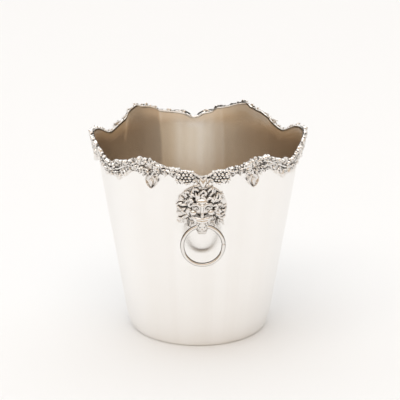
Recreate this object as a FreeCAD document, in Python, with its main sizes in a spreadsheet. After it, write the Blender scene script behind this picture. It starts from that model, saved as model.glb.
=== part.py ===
import FreeCAD, Part
import math
import os
import Sketcher
from FreeCAD import Base, Vector

# Champagne bucket in silver plate: a spun conical shell with a scalloped lip, six cast
# grape-vine border castings soldered round the lip, a pendant leaf under each crest,
# grape bunches and a clasp leaf over each lion mask, two lion masks and two ring handles.
#
# Frame: millimetres, +Z up, origin at the centre of the standing ring on the table.
# The front mask faces -Y, the back mask +Y. Round angles "phi" run from the front (-Y)
# towards +X. The lip has six 60 degree lobes with dips at phi = 0, 60, 120 ...

os.makedirs("parts", exist_ok=True)
doc = FreeCAD.newDocument("champagne_bucket")

# ---------------------------------------------------------------- driving dimensions
params = doc.addObject("Spreadsheet::Sheet", "params")
DIMS = [
    ("sheet_thickness", 1.2, "spun sheet, plated brass"),
    ("wall_virtual_radius", 75.13, "outer wall radius carried down to z = 0"),
    ("wall_slope", 0.16232, "outward growth of the wall per mm of height"),
    ("blank_height", 222.0, "wall height before the lip is cut"),
    ("corner_height", 20.1, "height where the wall starts to turn in"),
    ("corner_radius", 89.0, "gentle turn-in above the base"),
    ("foot_radius", 71.2, "outer edge of the flat standing ring"),
    ("foot_fillet", 1.8, "radius between standing ring and corner"),
    ("foot_edge_radius", 72.9, "radius where fillet and corner meet"),
    ("foot_edge_height", 1.2, "height where fillet and corner meet"),
    ("foot_inner_radius", 64.0, "inner edge of the flat standing ring"),
    ("base_dish_radius", 61.5, "radius of the raised middle of the base"),
    ("base_dish_height", 2.5, "how far the middle of the base is raised"),
    ("border_thickness", 3.2, "cast border, outward from the wall"),
    ("pendant_thickness", 2.2, "pendant leaf, outward from the wall"),
    ("clasp_thickness", 1.7, "clasp leaf, outward from the border"),
    ("grape_radius", 1.8, "one grape of a bunch"),
    ("mask_height", 164.7, "height of the mask centre on the wall"),
    ("mask_radius", 25.4, "lion mask disc"),
    ("mask_edge", 1.8, "disc edge, outward from the wall"),
    ("mane_rise", 4.0, "outer tier of the mane"),
    ("mane_inner_rise", 6.2, "inner tier of the mane"),
    ("mouth_drop", 17.2, "mouth axis below the mask centre, along the wall"),
    ("mouth_out", 7.5, "mouth axis out from the wall"),
    ("mouth_bore", 2.28, "radius of the hole in the middle of the mouth"),
    ("ring_mean_radius", 21.0, "ring handle, to the wire centre"),
    ("ring_wire_radius", 2.0, "ring handle wire"),
    ("ring_sweep", 359.3, "the ring is bent from wire and closed at a fine seam"),
]
for row, (alias, value, note) in enumerate(DIMS, start=1):
    params.set("A%d" % row, alias)
    params.set("B%d" % row, str(value))
    params.setAlias("B%d" % row, alias)
    params.set("C%d" % row, note)
doc.recompute()


def P(name):
    return float(getattr(params, name))


T = P("sheet_thickness")
R0, K = P("wall_virtual_radius"), P("wall_slope")
ALPHA = math.atan(K)
CA, SA = math.cos(ALPHA), math.sin(ALPHA)


def wall_r(z, out=0.0):
    """Radius at height z of the cone lying `out` mm outside the wall's outer face."""
    return R0 + K * z + out / CA


def polar(r, phi_deg, z):
    a = math.radians(phi_deg)
    return Vector(r * math.sin(a), -r * math.cos(a), z)


# ---------------------------------------------------------------- sketch helper
def profile(body, name, points, arcs, bound):
    """Closed profile in the body's XZ plane. points: [(r, z)]. arcs: {i: (radius, side)} turns
    the side from point i to i+1 into an arc. bound: {i: (alias_r or None, alias_z or None)}
    ties point i to the sheet; the other coordinates are expressions or plain numbers."""
    sk = body.newObject("Sketcher::SketchObject", name)
    plane = [f for f in body.Origin.OriginFeatures if f.Role == "XZ_Plane"][0]
    sk.AttachmentSupport = (plane, [""])
    sk.MapMode = "FlatFace"
    n = len(points)
    ends = []
    for i in range(n):
        (x1, y1), (x2, y2) = points[i], points[(i + 1) % n]
        if i in arcs:
            rad, side = arcs[i]
            mx, my = (x1 + x2) / 2, (y1 + y2) / 2
            dx, dy = x2 - x1, y2 - y1
            d = math.hypot(dx, dy)
            hgt = math.sqrt(rad * rad - d * d / 4)
            cx, cy = mx - side * dy / d * hgt, my + side * dx / d * hgt
            a1, a2 = math.atan2(y1 - cy, x1 - cx), math.atan2(y2 - cy, x2 - cx)
            if side > 0:
                if a2 < a1:
                    a2 += 2 * math.pi
                g = sk.addGeometry(Part.ArcOfCircle(Part.Circle(Vector(cx, cy, 0), Vector(0, 0, 1), rad), a1, a2), False)
                ends.append((g, 1, 2))
            else:
                if a1 < a2:
                    a1 += 2 * math.pi
                g = sk.addGeometry(Part.ArcOfCircle(Part.Circle(Vector(cx, cy, 0), Vector(0, 0, 1), rad), a2, a1), False)
                ends.append((g, 2, 1))
        else:
            g = sk.addGeometry(Part.LineSegment(Vector(x1, y1, 0), Vector(x2, y2, 0)), False)
            ends.append((g, 1, 2))
    for i in range(n):
        g, s, e = ends[i]
        g2, s2, e2 = ends[(i + 1) % n]
        sk.addConstraint(Sketcher.Constraint("Coincident", g, e, g2, s2))
    for i, (x, y) in enumerate(points):
        g, s, e = ends[i]
        for axis, value in (("DistanceX", x), ("DistanceY", y)):
            k = sk.addConstraint(Sketcher.Constraint(axis, -1, 1, g, s, value))
            label = "p%d_%s" % (i, axis[-1].lower())
            sk.renameConstraint(k, label)
            expr = bound.get(i, (None, None))[0 if axis == "DistanceX" else 1]
            if expr:
                sk.setExpression("Constraints." + label, expr)
    for i, (rad, side) in arcs.items():
        k = sk.addConstraint(Sketcher.Constraint("Radius", ends[i][0], rad))
        sk.renameConstraint(k, "arc%d" % i)
    return sk, ends


def axis_of(sk):
    return (sk, ["V_Axis"])


# ---------------------------------------------------------------- spun shell
body = doc.addObject("PartDesign::Body", "shell_blank")
H = P("blank_height")
zc = P("corner_height")
sk, ends = profile(
    body,
    "outer_profile",
    [
        (0.0, 0.0),
        (P("foot_radius"), 0.0),
        (P("foot_edge_radius"), P("foot_edge_height")),
        (wall_r(zc), zc),
        (wall_r(H), H),
        (0.0, H),
    ],
    {1: (P("foot_fillet"), 1), 2: (P("corner_radius"), 1)},
    {
        1: ("params.foot_radius", None),
        2: ("params.foot_edge_radius", "params.foot_edge_height"),
        3: ("params.wall_virtual_radius + params.wall_slope * params.corner_height", "params.corner_height"),
        4: ("params.wall_virtual_radius + params.wall_slope * params.blank_height", "params.blank_height"),
        5: (None, "params.blank_height"),
    },
)
sk.setExpression("Constraints.arc2", "params.corner_radius")
sk.setExpression("Constraints.arc1", "params.foot_fillet")
spin = body.newObject("PartDesign::Revolution", "spun_form")
spin.Profile = sk
spin.ReferenceAxis = axis_of(sk)
spin.Angle = 360.0
doc.recompute()
solid_volume = spin.Shape.Volume

TI = T / CA  # wall thickness measured level
z_floor = P("base_dish_height") + T
sk2, ends2 = profile(
    body,
    "cavity_profile",
    [
        (0.0, z_floor),
        (P("base_dish_radius") + 0.45, z_floor),
        (P("foot_inner_radius") + 0.45, T),
        (P("foot_radius") - 0.3, T),
        (P("foot_edge_radius") - 1.1, P("foot_edge_height") + 0.47),
        (wall_r(zc) - TI, zc),
        (wall_r(H + 5) - TI, H + 5),
        (0.0, H + 5),
    ],
    {4: (P("corner_radius") - T, 1)},
    {
        0: (None, "params.base_dish_height + params.sheet_thickness"),
        1: ("params.base_dish_radius + 0.45", "params.base_dish_height + params.sheet_thickness"),
        2: ("params.foot_inner_radius + 0.45", "params.sheet_thickness"),
        3: ("params.foot_radius - 0.3", "params.sheet_thickness"),
        4: ("params.foot_edge_radius - 1.1", "params.foot_edge_height + 0.47"),
        5: (
            "params.wall_virtual_radius + params.wall_slope * params.corner_height - params.sheet_thickness * sqrt(1 + params.wall_slope ^ 2)",
            "params.corner_height",
        ),
        6: (
            "params.wall_virtual_radius + params.wall_slope * (params.blank_height + 5) - params.sheet_thickness * sqrt(1 + params.wall_slope ^ 2)",
            "params.blank_height + 5",
        ),
        7: (None, "params.blank_height + 5"),
    },
)
sk2.setExpression("Constraints.arc4", "params.corner_radius - params.sheet_thickness")
cavity = body.newObject("PartDesign::Groove", "cavity")
cavity.Profile = sk2
cavity.ReferenceAxis = axis_of(sk2)
cavity.Angle = 360.0
doc.recompute()
shell_volume = cavity.Shape.Volume

sk3, ends3 = profile(
    body,
    "underside_profile",
    [(0.0, -1.0), (P("foot_inner_radius") + 1.0, -1.0), (P("foot_inner_radius"), 0.0), (P("base_dish_radius"), P("base_dish_height")), (0.0, P("base_dish_height"))],
    {},
    {
        1: ("params.foot_inner_radius + 1", None),
        2: ("params.foot_inner_radius", None),
        3: ("params.base_dish_radius", "params.base_dish_height"),
        4: (None, "params.base_dish_height"),
    },
)
dish = body.newObject("PartDesign::Groove", "base_dish")
dish.Profile = sk3
dish.ReferenceAxis = axis_of(sk3)
dish.Angle = 360.0
doc.recompute()
print("volumes: form %.0f, hollowed %.0f, dished %.0f mm3" % (solid_volume, shell_volume, dish.Shape.Volume))
assert solid_volume > shell_volume > dish.Shape.Volume > 1e5

# ---------------------------------------------------------------- the lip line
# Heights along one lobe, by degrees from the dip. The four lobes beside the masks rise in two
# steps away from the mask; the two side lobes are even-sided.
LIP_A = [(0, 198.6), (3, 200.0), (6, 203.0), (10, 204.9), (15, 206.2), (20, 207.9), (24, 210.9), (28, 212.9), (32, 213.9), (36, 213.2), (40, 210.0), (44, 206.6), (48, 204.2), (52, 201.9), (56, 199.7)]
LIP_B = [(0, 198.6), (3, 199.8), (6, 202.4), (10, 206.2), (14, 209.6), (18, 211.6), (24, 213.6), (30, 214.4), (36, 213.6), (42, 211.6), (46, 209.6), (50, 206.2), (54, 202.4), (57, 199.8)]
# top and bottom outline of the castings, by degrees from the dip
TOP_A = [(0, 200.6), (1.5, 202.2), (3, 201.9), (5, 205.3), (7.5, 206.4), (10, 206.1), (13, 207.9), (16, 207.3), (19, 208.6), (21, 209.4), (23, 213.2), (25.5, 213.7), (28, 215.9), (31, 216.4), (34, 216.3), (37, 216.2), (39, 214.0), (41.5, 211.0), (44, 209.4), (46.5, 206.6), (49, 206.6), (52, 204.0), (55, 203.0), (57.5, 200.9), (60, 200.8)]
BOT_A = [(0, 190.4), (3, 190.5), (7, 190.9), (10, 190.4), (13, 190.8), (16, 192.6), (18.5, 197.6), (21.5, 198.2), (24, 197.2), (27, 194.9), (30, 192.4), (33, 191.6), (36, 193.6), (39, 196.4), (42, 194.6), (45, 191.6), (48, 189.4), (51, 186.2), (54, 187.6), (57, 185.6), (60, 184.8)]
TOP_B = [(0, 200.8), (2.5, 201.2), (5, 204.6), (7.5, 206.8), (10, 208.6), (13, 212.6), (16, 212.6), (19, 214.2), (22, 215.6), (25, 215.4), (28, 216.8), (30, 217.2), (32, 216.8), (35, 215.4), (38, 215.6), (41, 214.2), (44, 212.6), (47, 212.6), (50, 208.6), (52.5, 206.8), (55, 204.6), (57.5, 201.2), (60, 200.8)]
BOT_B = [(0, 184.8), (3, 185.8), (6, 188.6), (9, 187.2), (12, 190.6), (15, 194.2), (18, 196.2), (21, 195.0), (24, 193.6), (27, 192.2), (30, 191.8), (33, 192.2), (36, 193.6), (39, 195.0), (42, 196.2), (45, 194.2), (48, 190.6), (51, 187.2), (54, 188.6), (57, 185.8), (60, 184.8)]


def mirrored(rows):
    return sorted((60.0 - u, z) for u, z in rows)


def lobe_edge(rows, phi0, r):
    curve = Part.BSplineCurve()
    curve.interpolate([polar(r, phi0 + u, z) for u, z in rows])
    return curve.toShape()


def wavy_prism(rows, phi0, height):
    """Block whose one face is the wavy line swept level, from inside the wall to outside it."""
    face = Part.makeRuledSurface(lobe_edge(rows, phi0, 82.0), lobe_edge(rows, phi0, 128.0))
    return face.extrude(Vector(0, 0, height))


points_in, points_out = [], []
for lobe in range(6):
    rows = LIP_B if lobe in (1, 4) else LIP_A
    if lobe in (2, 5):  # dips at 120 and 300 are side dips, so these lobes run the other way
        rows = sorted(((60.0 - u) % 60.0 if u else 0.0, z) for u, z in LIP_A)
    for u, z in rows:
        points_in.append(polar(80.0, 60.0 * lobe + u, z))
        points_out.append(polar(130.0, 60.0 * lobe + u, z))
inner, outer = Part.BSplineCurve(), Part.BSplineCurve()
inner.interpolate(points_in, PeriodicFlag=True)
outer.interpolate(points_out, PeriodicFlag=True)
lip_face = Part.makeRuledSurface(inner.toShape(), outer.toShape())
lip_tool = doc.addObject("Part::Feature", "lip_tool")
lip_tool.Shape = lip_face.extrude(Vector(0, 0, 60.0))
shell = doc.addObject("Part::Cut", "bucket_shell")
shell.Base = body
shell.Tool = lip_tool
shell.Label = "bucket_shell"
doc.recompute()
assert shell.Shape.isValid() and len(shell.Shape.Solids) == 1
assert shell.Shape.Volume < dish.Shape.Volume - 500
shell_shape = shell.Shape


# ---------------------------------------------------------------- conical slabs
def slab(n0, n1, z0, z1, phi0, sweep):
    """Part of the conical layer from n0 to n1 outside the wall face."""
    pts = [Vector(wall_r(z0, n0), 0, z0), Vector(wall_r(z0, n1), 0, z0), Vector(wall_r(z1, n1), 0, z1), Vector(wall_r(z1, n0), 0, z1)]
    face = Part.Face(Part.makePolygon(pts + [pts[0]]))
    made = face.revolve(Vector(0, 0, 0), Vector(0, 0, 1), sweep)
    made.rotate(Vector(0, 0, 0), Vector(0, 0, 1), phi0 - 90.0)
    return made


def cone_solid(n, z0, z1):
    """The full cone inside the layer at n, used to cut backs to the wall's curve."""
    return Part.makeCone(wall_r(z0, n), wall_r(z1, n), z1 - z0, Vector(0, 0, z0), Vector(0, 0, 1))


def turned(shape, degrees):
    s = shape.copy()
    s.rotate(Vector(0, 0, 0), Vector(0, 0, 1), degrees)
    return s


def flipped(shape):
    """Mirror image across the plane x = 0."""
    return shape.mirror(Vector(0, 0, 0), Vector(1, 0, 0))


parts = {}


def piece(label, shape):
    obj = doc.addObject("Part::Feature", label)
    obj.Shape = shape
    obj.Label = label
    parts[label] = obj
    return obj


def one(shape):
    shape = shape.removeSplitter()
    solids = sorted(shape.Solids, key=lambda s: -s.Volume)
    return solids[0]


# ---------------------------------------------------------------- cast border
BT = P("border_thickness")


def casting(top, bot, phi0):
    raw = slab(-T, BT, 180.0, 224.0, phi0, 60.0)
    raw = raw.cut(wavy_prism(top, phi0, 30.0))
    raw = raw.cut(wavy_prism(bot, phi0, -30.0))
    # the casting hooks over the lip: what the sheet fills is left to the sheet
    return one(raw.cut(shell_shape))


front_right = casting(TOP_A, BOT_A, 0.0)
side_right = casting(TOP_B, BOT_B, 60.0)
border = {
    "border_front_right": front_right,
    "border_front_left": flipped(front_right),
    "border_side_right": side_right,
    "border_side_left": turned(side_right, 180.0),
    "border_back_left": turned(front_right, 180.0),
    "border_back_right": turned(flipped(front_right), 180.0),
}
for label, shape in border.items():
    piece(label, shape)


# ---------------------------------------------------------------- leaves
def leaf_prism(outline, phi, z):
    """outline: [(x, y)] of a closed leaf in the plane touching the wall at (phi, z), extruded outward."""
    curve = Part.BSplineCurve()
    curve.interpolate([Vector(x, y, 0) for x, y in outline], PeriodicFlag=True)
    face = Part.Face(Part.Wire([curve.toShape()]))
    made = face.extrude(Vector(0, 0, 14.0))
    made.translate(Vector(0, 0, -5.0))
    m = Base.Matrix(
        1, 0, 0, 0,
        0, -SA, -CA, -wall_r(z),
        0, CA, -SA, z,
        0, 0, 0, 1,
    )
    made = made.transformGeometry(m) if False else made.transformed(m, True)
    made.rotate(Vector(0, 0, 0), Vector(0, 0, 1), phi)
    return made


PENDANT = [(0, 9.2), (3.4, 8.6), (4.9, 5.2), (4.4, 1.2), (2.6, -2.6), (0, -6.6), (-2.6, -2.6), (-4.4, 1.2), (-4.9, 5.2), (-3.4, 8.6)]


def pendant(phi, casting_shape, z=188.2):
    prism = leaf_prism(PENDANT, phi, z)
    layer = slab(0.0, P("pendant_thickness"), 176.0, 206.0, phi - 10.0, 20.0)
    return one(prism.common(layer).cut(casting_shape))


pend_front_right = pendant(32.0, front_right)
pend_side_right = pendant(90.0, side_right)
pendants = {
    "pendant_leaf_front_right": pend_front_right,
    "pendant_leaf_front_left": flipped(pend_front_right),
    "pendant_leaf_side_right": pend_side_right,
    "pendant_leaf_side_left": turned(pend_side_right, 180.0),
    "pendant_leaf_back_left": turned(pend_front_right, 180.0),
    "pendant_leaf_back_right": turned(flipped(pend_front_right), 180.0),
}
for label, shape in pendants.items():
    piece(label, shape)

# ---------------------------------------------------------------- lion mask
MR, MZ = P("mask_radius"), P("mask_height")
to_wall = Base.Matrix(
    1, 0, 0, 0,
    0, -SA, -CA, -wall_r(MZ),
    0, CA, -SA, MZ,
    0, 0, 0, 1,
)


def on_mask(shape):
    """From mask coordinates (x right, y up the wall, z out of it) to the object's frame."""
    return shape.transformed(to_wall, True)


def lobed_disc(radius, depth, count, rise, turn=0.0):
    """Round of mane: a scalloped outline taken from the layer of that rise outside the wall."""
    def at(r, step):
        a = 2 * math.pi * step / count + turn
        return Vector(r * math.sin(a), r * math.cos(a), 0)

    arcs = [Part.Arc(at(radius - depth, i), at(radius, i + 0.5), at(radius - depth, i + 1)).toShape() for i in range(count)]
    prism = Part.Face(Part.Wire(arcs)).extrude(Vector(0, 0, 24.0))
    prism.translate(Vector(0, 0, -8.0))
    return on_mask(prism).common(slab(0.0, rise, 130.0, 200.0, -25.0, 50.0))


def ball(name, centre, radius):
    b = doc.addObject("Part::Sphere", name)
    b.Radius = radius
    b.Placement = Base.Placement(to_wall).multiply(Base.Placement(Vector(*centre), Base.Rotation()))
    return b


def bar(name, start, end, r1, r2):
    """Tapered round bar between two points of the mask's own coordinates."""
    a, b = Vector(*start), Vector(*end)
    c = doc.addObject("Part::Cone", name)
    c.Radius1, c.Radius2, c.Height = r1, r2, (b - a).Length
    c.Placement = Base.Placement(to_wall).multiply(Base.Placement(a, Base.Rotation(Vector(0, 0, 1), b - a)))
    return c


plate = Part.makeCylinder(MR, 24.0, Vector(0, 0, -8.0), Vector(0, 0, 1))
plate = on_mask(plate).common(slab(0.0, P("mask_edge"), 130.0, 200.0, -25.0, 50.0))
mane_outer = lobed_disc(MR - 0.7, 2.2, 18, P("mane_rise"))
mane_inner = lobed_disc(MR - 6.0, 2.6, 13, P("mane_inner_rise"), math.pi / 13)
mane = doc.addObject("Part::Feature", "mask_mane")
mane.Shape = plate.fuse([mane_outer, mane_inner]).removeSplitter()
DROP, OUT = P("mouth_drop"), P("mouth_out")
face_parts = [
    ball("mask_face", (0, -1.0, -11.3), 20.2),
    ball("mask_brow_right", (5.4, 5.2, 5.2), 4.3),
    ball("mask_brow_left", (-5.4, 5.2, 5.2), 4.3),
    bar("mask_nose_bridge", (0, 5.0, 6.6), (0, -11.5, 10.2), 2.6, 3.5),
    ball("mask_nose_tip", (0, -10.9, 10.1), 3.9),
    ball("mask_muzzle_right", (4.4, -DROP + 1.9, OUT + 0.2), 6.5),
    ball("mask_muzzle_left", (-4.4, -DROP + 1.9, OUT + 0.2), 6.5),
    ball("mask_chin", (0, -22.4, 5.9), 5.5),
]
face = doc.addObject("Part::MultiFuse", "mask_relief")
face.Shapes = [mane] + face_parts
doc.recompute()

# hole for the ring: a round hole in the middle, flared both ways so the bent wire can swing
RM, RW = P("ring_mean_radius"), P("ring_wire_radius")
half = 13.2
pts = []
for i in range(-11, 12):
    x = half * i / 11.0
    lean = math.asin(x / RM)
    pts.append(Vector(x, RM * (1.0 - math.cos(lean)) + RW / math.cos(lean) + 0.36, 0))
left = [p for p in pts if p.x <= -1.19]
right = [p for p in pts if p.x >= 1.19]
bore_r = P("mouth_bore")
left[-1] = Vector(left[-1].x, bore_r + 0.1, 0)
right[0] = Vector(right[0].x, bore_r + 0.1, 0)
lc, rc = Part.BSplineCurve(), Part.BSplineCurve()
lc.interpolate(left)
rc.interpolate(right)
edges = [
    Part.makeLine(Vector(-half, 0, 0), left[0]),
    lc.toShape(),
    Part.makeLine(left[-1], right[0]),
    rc.toShape(),
    Part.makeLine(right[-1], Vector(half, 0, 0)),
    Part.makeLine(Vector(half, 0, 0), Vector(-half, 0, 0)),
]
bore = Part.Face(Part.Wire(edges)).revolve(Vector(0, 0, 0), Vector(1, 0, 0), 360)
bore.translate(Vector(0, -DROP, OUT))
bore_obj = doc.addObject("Part::Feature", "mouth_hole")
bore_obj.Shape = on_mask(bore)

# hollow back, as cast, and the back face cut to the wall's curve
hollow = Part.makeSphere(60.0, Vector(0, 2.0, -56.2))
hollow = on_mask(hollow).common(on_mask(Part.makeCylinder(14.5, 12.0, Vector(0, 2.5, -6.0), Vector(0, 0, 1))))
back = doc.addObject("Part::Feature", "mask_back_cut")
back.Shape = cone_solid(0.0, 110.0, 215.0)
hollow_obj = doc.addObject("Part::Feature", "mask_hollow")
hollow_obj.Shape = hollow
cut1 = doc.addObject("Part::Cut", "mask_to_wall")
cut1.Base, cut1.Tool = face, back
cut2 = doc.addObject("Part::Cut", "mask_with_hole")
cut2.Base, cut2.Tool = cut1, bore_obj
mask = doc.addObject("Part::Cut", "lion_mask_front")
mask.Base, mask.Tool = cut2, hollow_obj
mask.Label = "lion_mask_front"
doc.recompute()
parts["lion_mask_front"] = mask
mask_shape = one(mask.Shape)
assert mask_shape.Volume > 0.98 * mask.Shape.Volume
piece("lion_mask_back", turned(mask_shape, 180.0))

# ---------------------------------------------------------------- clasp leaf and grape bunches
CLASP = [(0, 7.4), (2.4, 5.6), (3.2, 2.0), (2.5, -2.2), (1.1, -5.0), (0, -6.4), (-1.1, -5.0), (-2.5, -2.2), (-3.2, 2.0), (-2.4, 5.6)]
clasp = leaf_prism(CLASP, 0.0, 193.4).common(slab(BT, BT + P("clasp_thickness"), 180.0, 206.0, -8.0, 16.0))
clasp = one(clasp.cut(mask_shape))
piece("clasp_leaf_front", clasp)
piece("clasp_leaf_back", turned(clasp, 180.0))

GR = P("grape_radius")
BUNCH = [
    (4.6, 201.4), (4.9, 198.5), (5.1, 195.6), (6.4, 203.0), (6.6, 200.0), (6.8, 197.1), (7.0, 194.2),
    (8.3, 201.6), (8.5, 198.6), (8.7, 195.6), (10.1, 203.2), (10.3, 200.2), (10.5, 197.2), (10.6, 194.3),
    (12.1, 201.6), (12.3, 198.6), (12.4, 195.8), (14.0, 200.2), (14.1, 197.4), (15.6, 199.2),
]
inside_cone = cone_solid(BT, 170.0, 215.0)
layer = slab(BT, BT + 6.0, 176.0, 214.0, -2.0, 30.0)


def grape(u, z):
    """One grape, its back cut to the casting's face; both ways of cutting are tried and the smaller kept."""
    whole = Part.makeSphere(GR, polar(wall_r(z, BT + 0.6), u, z), Vector(math.sin(math.radians(u)), -math.cos(math.radians(u)), 0.0))
    return min((whole.cut(inside_cone), whole.common(layer)), key=lambda s: s.Volume)


grapes = [grape(u, z) for u, z in BUNCH]
# the grapes stand on a thin leaf-shaped pad of the same casting
PAD = [(-9.6, 0.6), (-9.2, 5.0), (-4.0, 5.2), (2.0, 5.0), (6.8, 3.4), (10.4, 0.6), (8.0, -2.6), (3.0, -4.2), (-3.0, -4.4), (-8.8, -3.6)]
pad = leaf_prism(PAD, 10.2, 198.9).common(slab(BT, BT + 0.9, 180.0, 212.0, 0.0, 24.0))
bunch = pad
for grape in grapes:
    bunch = bunch.fuse(grape)
left_inside = bunch.common(inside_cone)
assert not left_inside.Solids or left_inside.Volume < 0.5
bunch = one(bunch.cut(clasp))
assert 300 < bunch.Volume < 700
bunches = {
    "grape_bunch_front_right": bunch,
    "grape_bunch_front_left": flipped(bunch),
    "grape_bunch_back_left": turned(bunch, 180.0),
    "grape_bunch_back_right": turned(flipped(bunch), 180.0),
}
for label, shape in bunches.items():
    piece(label, shape)

# ---------------------------------------------------------------- ring handles
pivot = to_wall.multVec(Vector(0, -DROP, OUT))
print("ring pivot front: x %.3f y %.3f z %.3f" % (pivot.x, pivot.y, pivot.z))
for label, side in (("ring_handle_front", -1.0), ("ring_handle_back", 1.0)):
    ring = doc.addObject("Part::Torus", label)
    ring.Label = label
    ring.setExpression("Radius1", "params.ring_mean_radius")
    ring.setExpression("Radius2", "params.ring_wire_radius")
    ring.setExpression("Angle3", "params.ring_sweep")
    # stand the ring in a plane facing the viewer, its seam at the right-hand side
    rot = Base.Rotation(Vector(0, 0, 1), 0.0 if side < 0 else 180.0).multiply(Base.Rotation(Vector(1, 0, 0), 90.0)).multiply(Base.Rotation(Vector(0, 0, 1), 4.0))
    ring.Placement = Base.Placement(Vector(0, -side * pivot.y, pivot.z - RM), rot)
    parts[label] = ring
doc.recompute()
parts["bucket_shell"] = shell

# ---------------------------------------------------------------- check and write
for obj in doc.Objects:
    if any(s in ("Invalid", "Error") for s in obj.State):
        raise SystemExit("object %s failed: %s" % (obj.Label, obj.State))
for label, obj in sorted(parts.items()):
    shape = mask_shape if label == "lion_mask_front" else obj.Shape
    if shape.isNull() or not shape.isValid() or shape.Volume <= 0 or not shape.Solids:
        raise SystemExit("sub-part %s has a bad shape" % label)
    shape.exportStep("parts/%s.step" % label)
    b = shape.BoundBox
    print("%-26s solids %d volume %9.1f  x %.1f..%.1f y %.1f..%.1f z %.1f..%.1f" % (label, len(shape.Solids), shape.Volume, b.XMin, b.XMax, b.YMin, b.YMax, b.ZMin, b.ZMax))
print("parts written:", len(parts))
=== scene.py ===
import math

import bpy
import numpy as np
from mathutils import Matrix, Vector


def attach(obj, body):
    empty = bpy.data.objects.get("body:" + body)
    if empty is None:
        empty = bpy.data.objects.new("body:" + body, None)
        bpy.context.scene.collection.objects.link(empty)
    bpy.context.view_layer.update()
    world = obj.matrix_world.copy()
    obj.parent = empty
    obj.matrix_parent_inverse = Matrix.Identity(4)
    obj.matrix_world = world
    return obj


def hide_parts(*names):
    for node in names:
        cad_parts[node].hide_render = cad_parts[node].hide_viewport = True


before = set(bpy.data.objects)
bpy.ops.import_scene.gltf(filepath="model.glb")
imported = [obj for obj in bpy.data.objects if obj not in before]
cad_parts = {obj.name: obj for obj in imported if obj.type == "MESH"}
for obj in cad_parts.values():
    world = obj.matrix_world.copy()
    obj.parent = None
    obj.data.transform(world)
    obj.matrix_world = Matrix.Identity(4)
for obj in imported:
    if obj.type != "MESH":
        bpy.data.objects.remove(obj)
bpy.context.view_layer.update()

# ------------------------------------------------------------------ the cone everything follows (mm)
R0, K = 75.13, 0.16232
ALPHA = math.atan(K)
CA, SA = math.cos(ALPHA), math.sin(ALPHA)
SHEET = 1.2
DEG = 1.93  # mm of circumference per degree at the border


def smooth(a, b, x):
    t = np.clip((x - a) / (b - a), 0.0, 1.0)
    return t * t * (3 - 2 * t)


def flare(z):
    return 1.2 * np.clip((z - 188.0) / 26.0, 0.0, 1.2) ** 2


def wall(z):
    return R0 + K * z + flare(z)


def on_cone(phi_deg, z, n):
    """World point (mm) n outside the wall face, at round angle phi and height z of its foot."""
    a = np.radians(phi_deg)
    r = wall(z) + n * CA
    return np.stack([r * np.sin(a), -r * np.cos(a), z - n * SA], -1)


# ------------------------------------------------------------------ lip and border outlines
LIP_A = [(0, 198.6), (3, 200.0), (6, 203.0), (10, 204.9), (15, 206.2), (20, 207.9), (24, 210.9), (28, 212.9), (32, 213.9), (36, 213.2), (40, 210.0), (44, 206.6), (48, 204.2), (52, 201.9), (56, 199.7), (60, 198.6)]
LIP_B = [(0, 198.6), (3, 199.8), (6, 202.4), (10, 206.2), (14, 209.6), (18, 211.6), (24, 213.6), (30, 214.4), (36, 213.6), (42, 211.6), (46, 209.6), (50, 206.2), (54, 202.4), (57, 199.8), (60, 198.6)]
BOT_A = [(0, 191.4), (3, 192.5), (7, 193.9), (10, 193.4), (13, 193.8), (16, 196.6), (18.5, 199.6), (21.5, 199.6), (24, 198.2), (27, 197.9), (30, 198.4), (33, 197.6), (36, 197.6), (39, 198.4), (42, 197.6), (45, 195.6), (48, 192.4), (51, 190.2), (54, 190.6), (57, 188.6), (60, 188.8)]
BOT_B = [(0, 188.8), (3, 189.8), (6, 191.6), (9, 192.2), (12, 195.6), (15, 198.2), (18, 199.2), (21, 199.0), (24, 198.6), (27, 198.2), (30, 198.8), (33, 198.2), (36, 198.6), (39, 199.0), (42, 199.2), (45, 198.2), (48, 195.6), (51, 192.2), (54, 191.6), (57, 189.8), (60, 188.8)]


def around(table_a, table_b):
    """A full turn of one outline: four A lobes mirrored in pairs about the masks, two B lobes."""
    xs, ys = [], []
    for lobe in range(6):
        rows = table_b if lobe in (1, 4) else table_a
        if lobe in (2, 5):
            rows = sorted((60 - u, z) for u, z in table_a)
        for u, z in rows[:-1]:
            xs.append(60 * lobe + u)
            ys.append(z)
    xs, ys = np.array(xs, float), np.array(ys, float)
    xs3 = np.concatenate([xs - 360, xs, xs + 360])
    ys3 = np.concatenate([ys, ys, ys])
    fine = np.arange(-180, 540, 0.25)
    vals = np.interp(fine, xs3, ys3)
    k = np.hanning(9)
    vals = np.convolve(vals, k / k.sum(), mode="same")
    return lambda phi: np.interp(np.mod(phi, 360.0), fine, vals)


lip_even = around(LIP_A, LIP_B)
low = around(BOT_A, BOT_B)


def bump_at(phi, a, b, soft=3.0):
    p = np.mod(phi, 360.0)
    return smooth(a - soft, a + soft, p) * (1 - smooth(b - soft, b + soft, p))


def raised(phi):
    """The castings aren't quite alike: the back ones stand higher at their crests."""
    return 3.6 * bump_at(phi, 147.5, 168.0, 1.8) + 3.9 * bump_at(phi, 213.5, 223.0, 2.0) + 1.4 * bump_at(phi, 203.0, 214.0, 2.0) + 2.2 * bump_at(phi, 131.0, 140.0, 3.0)


def lip(phi):
    return lip_even(phi) + raised(phi)


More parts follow.
